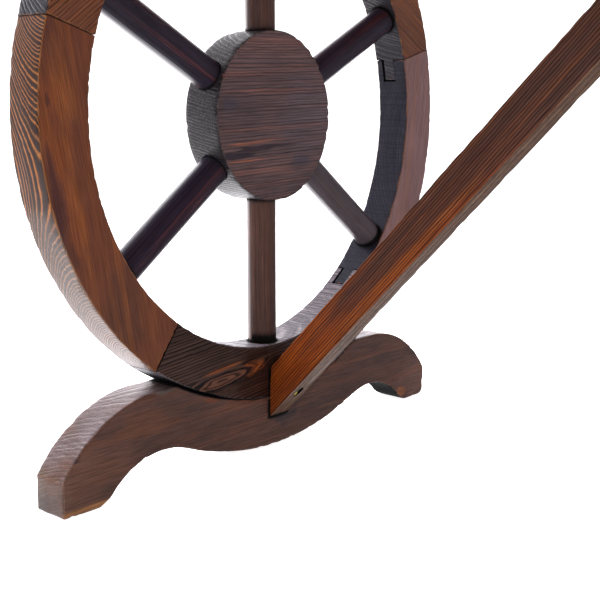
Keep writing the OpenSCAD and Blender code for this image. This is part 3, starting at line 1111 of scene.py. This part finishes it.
LOOKS = {
    "rim_bottom": dict(
        early=(0.056, 0.031, 0.025), late=(0.004, 0.003, 0.003), streak=(0.13, 0.05, 0.03),
        # The pale lilac-grey of the round faces is a painted sheen of the light from above.
        streaks=0.3, charred=0.35, soot_and_sheen=(0.17, 0.15, 0.175), ember_and_sheen=(0.27, 0.23, 0.25),
        worn=(0.12, 0.075, 0.055), ring=0.0034, contrast=1.0, wander=0.006, relief=0.0007,
        shine=0.15, uneven=1.2, faint=0.7, sawn=0.6, heart=(0.105, 0.042, 0.026),
        knots=[
            (rim_spot(0, -0.09, 0.0915), 0.042, 0.0072),
        ],
        patches=[
            # A dark red patch round the brace's foot is painted shade from the brace.
            (rim_spot(0, -0.025, 0.085), 0.05, 0.04, (0.03, 0.009, 0.005), 0.95),
            (rim_spot(0, -0.043, 0.097), 0.02, 0.009, (0.22, 0.055, 0.012), 1.0),
            (rim_spot(0, -0.09, 0.104), 0.03, 0.003, (0.2, 0.055, 0.016), 0.8),
        ],
    ),
    "rim_front": dict(
        early=(0.11, 0.034, 0.016), late=(0.05, 0.016, 0.01), streak=(0.2, 0.06, 0.013),
        streaks=0.6, char=(0.055, 0.023, 0.02), charred=0.75, soot_and_sheen=(0.026, 0.011, 0.008),
        ember_and_sheen=(0.36, 0.13, 0.034), ring=0.0014, contrast=0.3, wander=0.0014, relief=6e-05,
        rough=(0.44, 0.36), shine=0.2, blotch=11.0, uneven=1.2,
        patches=[
            (rim_spot(4, -0.215, 0.18), 0.05, 0.03, (0.07, 0.028, 0.018), 0.6),
            (rim_spot(4, -0.277, 0.257), 0.034, 0.02, (0.055, 0.02, 0.017), 0.65),
            (rim_spot(4, -0.19, 0.175), 0.03, 0.012, (0.12, 0.036, 0.014), 0.7),
            (rim_spot(4, -0.284, 0.388), 0.045, 0.014, (0.22, 0.066, 0.014), 0.8),
            (rim_spot(4, -0.29, 0.35), 0.05, 0.016, (0.165, 0.044, 0.012), 0.8),
            (rim_spot(4, -0.272, 0.272), 0.04, 0.012, (0.17, 0.046, 0.012), 0.7),
            (rim_spot(4, -0.294, 0.29), 0.05, 0.012, (0.05, 0.018, 0.018), 0.8),
            (rim_spot(4, -0.299, 0.376), 0.007, 0.003, (0.04, 0.015, 0.012), 0.7),
            (rim_spot(4, -0.283, 0.352), 0.008, 0.003, (0.04, 0.015, 0.012), 0.7),
        ],
        # A pale grey painted reflection of the floor, low on the round outer face.
        painted_reflections=[
            (rim_spot(4, -0.268, 0.205, 0), 0.08, 0.09, (0.18, 0.15, 0.135), 0.48),
        ],
    ),
    "rim_back": dict(
        early=(0.165, 0.092, 0.092), late=(0.085, 0.044, 0.042), streak=(0.28, 0.1, 0.035),
        streaks=0.35, charred=0.25, soot_and_sheen=(0.016, 0.015, 0.026), ember_and_sheen=(0.021, 0.02, 0.033),
        ring=0.0024, contrast=0.7, relief=0.00016, sawn=0.4,
    ),
    "rim_top": dict(
        early=(0.13, 0.042, 0.018), late=(0.03, 0.012, 0.009), streak=(0.24, 0.075, 0.02),
        charred=0.4, soot_and_sheen=(0.018, 0.016, 0.022), ember_and_sheen=(0.03, 0.027, 0.034),
    ),
    "hub": dict(
        early=(0.1, 0.056, 0.054), late=(0.026, 0.019, 0.026), streak=(0.2, 0.065, 0.038),
        streaks=0.4, char=(0.04, 0.028, 0.036), charred=0.5, soot_and_sheen=(0.022, 0.018, 0.023),
        ember_and_sheen=(0.034, 0.029, 0.033), worn=(0.1, 0.07, 0.065), ring=0.0032, wander=0.004,
        relief=0.0004, uneven=1.2, faint=0.5, speckle=0.8,
        patches=[
            # A pale lilac patch on the right of the face is a painted sheen.
            (hub_spot(0.045, 0.365), 0.06, 0.05, (0.08, 0.06, 0.074), 0.6),
            (hub_spot(-0.07, 0.324), 0.03, 0.005, (0.016, 0.012, 0.02), 0.95),
            (hub_spot(-0.045, 0.33), 0.03, 0.0034, (0.018, 0.012, 0.018), 0.95),
            (hub_spot(-0.01, 0.334), 0.034, 0.0022, (0.022, 0.014, 0.02), 0.9),
            (hub_spot(-0.055, 0.336), 0.036, 0.0016, (0.27, 0.085, 0.04), 0.9),
            (hub_spot(-0.02, 0.34), 0.036, 0.0013, (0.22, 0.075, 0.04), 0.8),
            (hub_spot(-0.06, 0.3185), 0.034, 0.0014, (0.25, 0.08, 0.036), 0.9),
            (hub_spot(0.03, 0.315), 0.018, 0.011, (0.05, 0.046, 0.062), 0.8),
            (hub_spot(-0.08, 0.375), 0.012, 0.008, (0.05, 0.05, 0.07), 0.7),
        ],
    ),
    "spoke_dark": dict(
        early=(0.018, 0.013, 0.026), late=(0.012, 0.008, 0.014), streak=(0.12, 0.022, 0.014),
        streaks=0.4, charred=0.4, wear=0.0, relief=0.00012, rough=(0.4, 0.32),
    ),
    "spoke_brown": dict(
        early=(0.078, 0.036, 0.026), late=(0.042, 0.021, 0.018), streak=(0.18, 0.065, 0.038),
        streaks=0.7, char=(0.03, 0.018, 0.018), charred=0.75, wear=0.0, ring=0.004,
        contrast=0.7, relief=0.00012, rough=(0.42, 0.36),
    ),
    # This spoke's grey-lilac tone is a painted sheen.
    "spoke_grey_sheen": dict(
        early=(0.05, 0.038, 0.046), late=(0.028, 0.022, 0.027), streak=(0.09, 0.052, 0.044),
        streaks=0.4, char=(0.055, 0.038, 0.04), charred=0.4, wear=0.0, ring=0.004,
        contrast=0.5, relief=0.00012, rough=(0.38, 0.32),
    ),
    "foot": dict(
        early=(0.08, 0.037, 0.028), late=(0.036, 0.019, 0.016), streak=(0.15, 0.05, 0.022),
        # The pale lilac-grey of the curved top is a painted sheen of the light from above.
        streaks=0.4, char=(0.036, 0.024, 0.023), charred=0.6, soot_and_sheen=(0.17, 0.125, 0.135),
        ember_and_sheen=(0.27, 0.2, 0.21), worn=(0.18, 0.095, 0.06), ring=0.0034, contrast=0.24,
        wander=0.014, rough=(0.46, 0.34), blotch=26.0, faint=0.3, sawn=0.35,
        patches=[
            (foot_spot(-FOOT_L / 2, 0.03, 0.0), 0.012, 0.06, (0.13, 0.1, 0.078), 0.75),
            (foot_spot(-FOOT_L / 2, 0.022, -0.002), 0.012, 0.008, (0.05, 0.042, 0.04), 0.75),
            (foot_spot(-FOOT_L / 2, 0.038, 0.008), 0.012, 0.009, (0.045, 0.038, 0.038), 0.8),
            (foot_spot(-0.275, 0.03), 0.08, 0.045, (0.112, 0.05, 0.032), 0.85),
            (foot_spot(-0.27, 0.004), 0.04, 0.004, (0.3, 0.13, 0.045), 0.9),
            (foot_spot(0.276, 0.03), 0.045, 0.035, (0.12, 0.058, 0.045), 0.85),
            (foot_spot(-0.1, 0.076), 0.016, 0.006, (0.17, 0.045, 0.018), 0.9),
            (foot_spot(-0.19, 0.07), 0.05, 0.016, (0.12, 0.045, 0.022), 0.7),
            (foot_spot(-0.062, 0.063), 0.035, 0.01, (0.11, 0.042, 0.024), 0.7),
            (foot_spot(-0.169, 0.098), 0.014, 0.006, (0.09, 0.085, 0.078), 0.8),
            (foot_spot(0.012, 0.036), 0.022, 0.016, (0.024, 0.02, 0.024), 0.8),
            (foot_spot(0.242, 0.012), 0.012, 0.008, (0.3, 0.095, 0.025), 0.9),
            (foot_spot(-0.288, 0.054), 0.013, 0.006, (0.016, 0.013, 0.017), 0.9),
        ],
    ),
    "bearer": dict(
        early=(0.1, 0.04, 0.022), late=(0.032, 0.015, 0.011), charred=0.4, ring=0.0034,
    ),
    "brace": dict(
        early=(0.225, 0.045, 0.004), late=(0.007, 0.003, 0.003), streak=(0.3, 0.08, 0.012),
        streaks=0.22, char=(0.06, 0.018, 0.012), charred=0.35, soot_and_sheen=(0.1, 0.054, 0.035),
        ember_and_sheen=(0.15, 0.086, 0.055), worn=(0.38, 0.13, 0.03), wear=0.25, ring=0.0026,
        contrast=1.0, wander=0.003, relief=0.00025, shine=0.1, blotch=14.0, uneven=1.0,
        faint=0.8, speckle=0.5,
        patches=[
            (brace_spot(1.0, 0.0), 0.56, 0.1, (0.062, 0.033, 0.027), 0.97),
            (brace_spot(0.46, 0.018), 0.34, 0.032, (0.064, 0.03, 0.022), 0.95),
            (brace_spot(0.24, -0.017), 0.16, 0.006, (0.36, 0.1, 0.014), 0.4),
        ],
    ),
    "top": dict(
        early=(0.15, 0.05, 0.02), late=(0.04, 0.015, 0.01), streak=(0.24, 0.08, 0.025),
        charred=0.35, ring=0.0036, wander=0.02,
    ),
}

RIM_LOOKS = ["rim_bottom", "rim_back", "rim_top", "rim_top", "rim_front"]
SPOKE_LOOKS = ["spoke_brown", "spoke_grey_sheen", "spoke_dark", "spoke_brown", "spoke_dark",
               "spoke_dark"]
built = {}


def look(name, seed):
    """A look's material, made once for each seed."""
    key = name if not seed else f"{name}_{round(seed * 10)}"
    if key not in built:
        built[key] = Wood(key, seed, LOOKS[name]).build()
    return built[key]


# ---- The table ----

add_camera()
add_world()
add_lights()
add_floor()

for side in ("left", "right"):
    seed = 0.0 if side == "left" else 2.3
    for i, name in enumerate(RIM_LOOKS):
        # The second of two felloes with one look is moved along its log
        shift = 0.6 if name == RIM_LOOKS[i - 1] else 0.0
        make_felloe(side, i, look(name, seed + shift))
    make_hub(side, look("hub", seed))
    for i, name in enumerate(SPOKE_LOOKS, 1):
        make_spoke(side, i, look(name, seed + 0.5 * i))
    make_foot(side, look("foot", seed))
    make_bearer(side, look("bearer", seed))
    make_brace(side, look("brace", seed))
make_batten(look("bearer", 4.4))
for i in range(1, 6):
    make_top_board(i, look("top", 0.9 * i))

steel = metal("zinc_steel", (0.62, 0.62, 0.64), 0.3)
brass = metal("yellow_brass", (0.95, 0.80, 0.16), 0.30, 0.55)
beech = dowel_wood()
for name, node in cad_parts.items():
    if node.hide_render:
        continue
    finish = beech if "dowels" in name else brass if "brace_screws" in name else steel
    node.data.materials.clear()
    node.data.materials.append(finish)
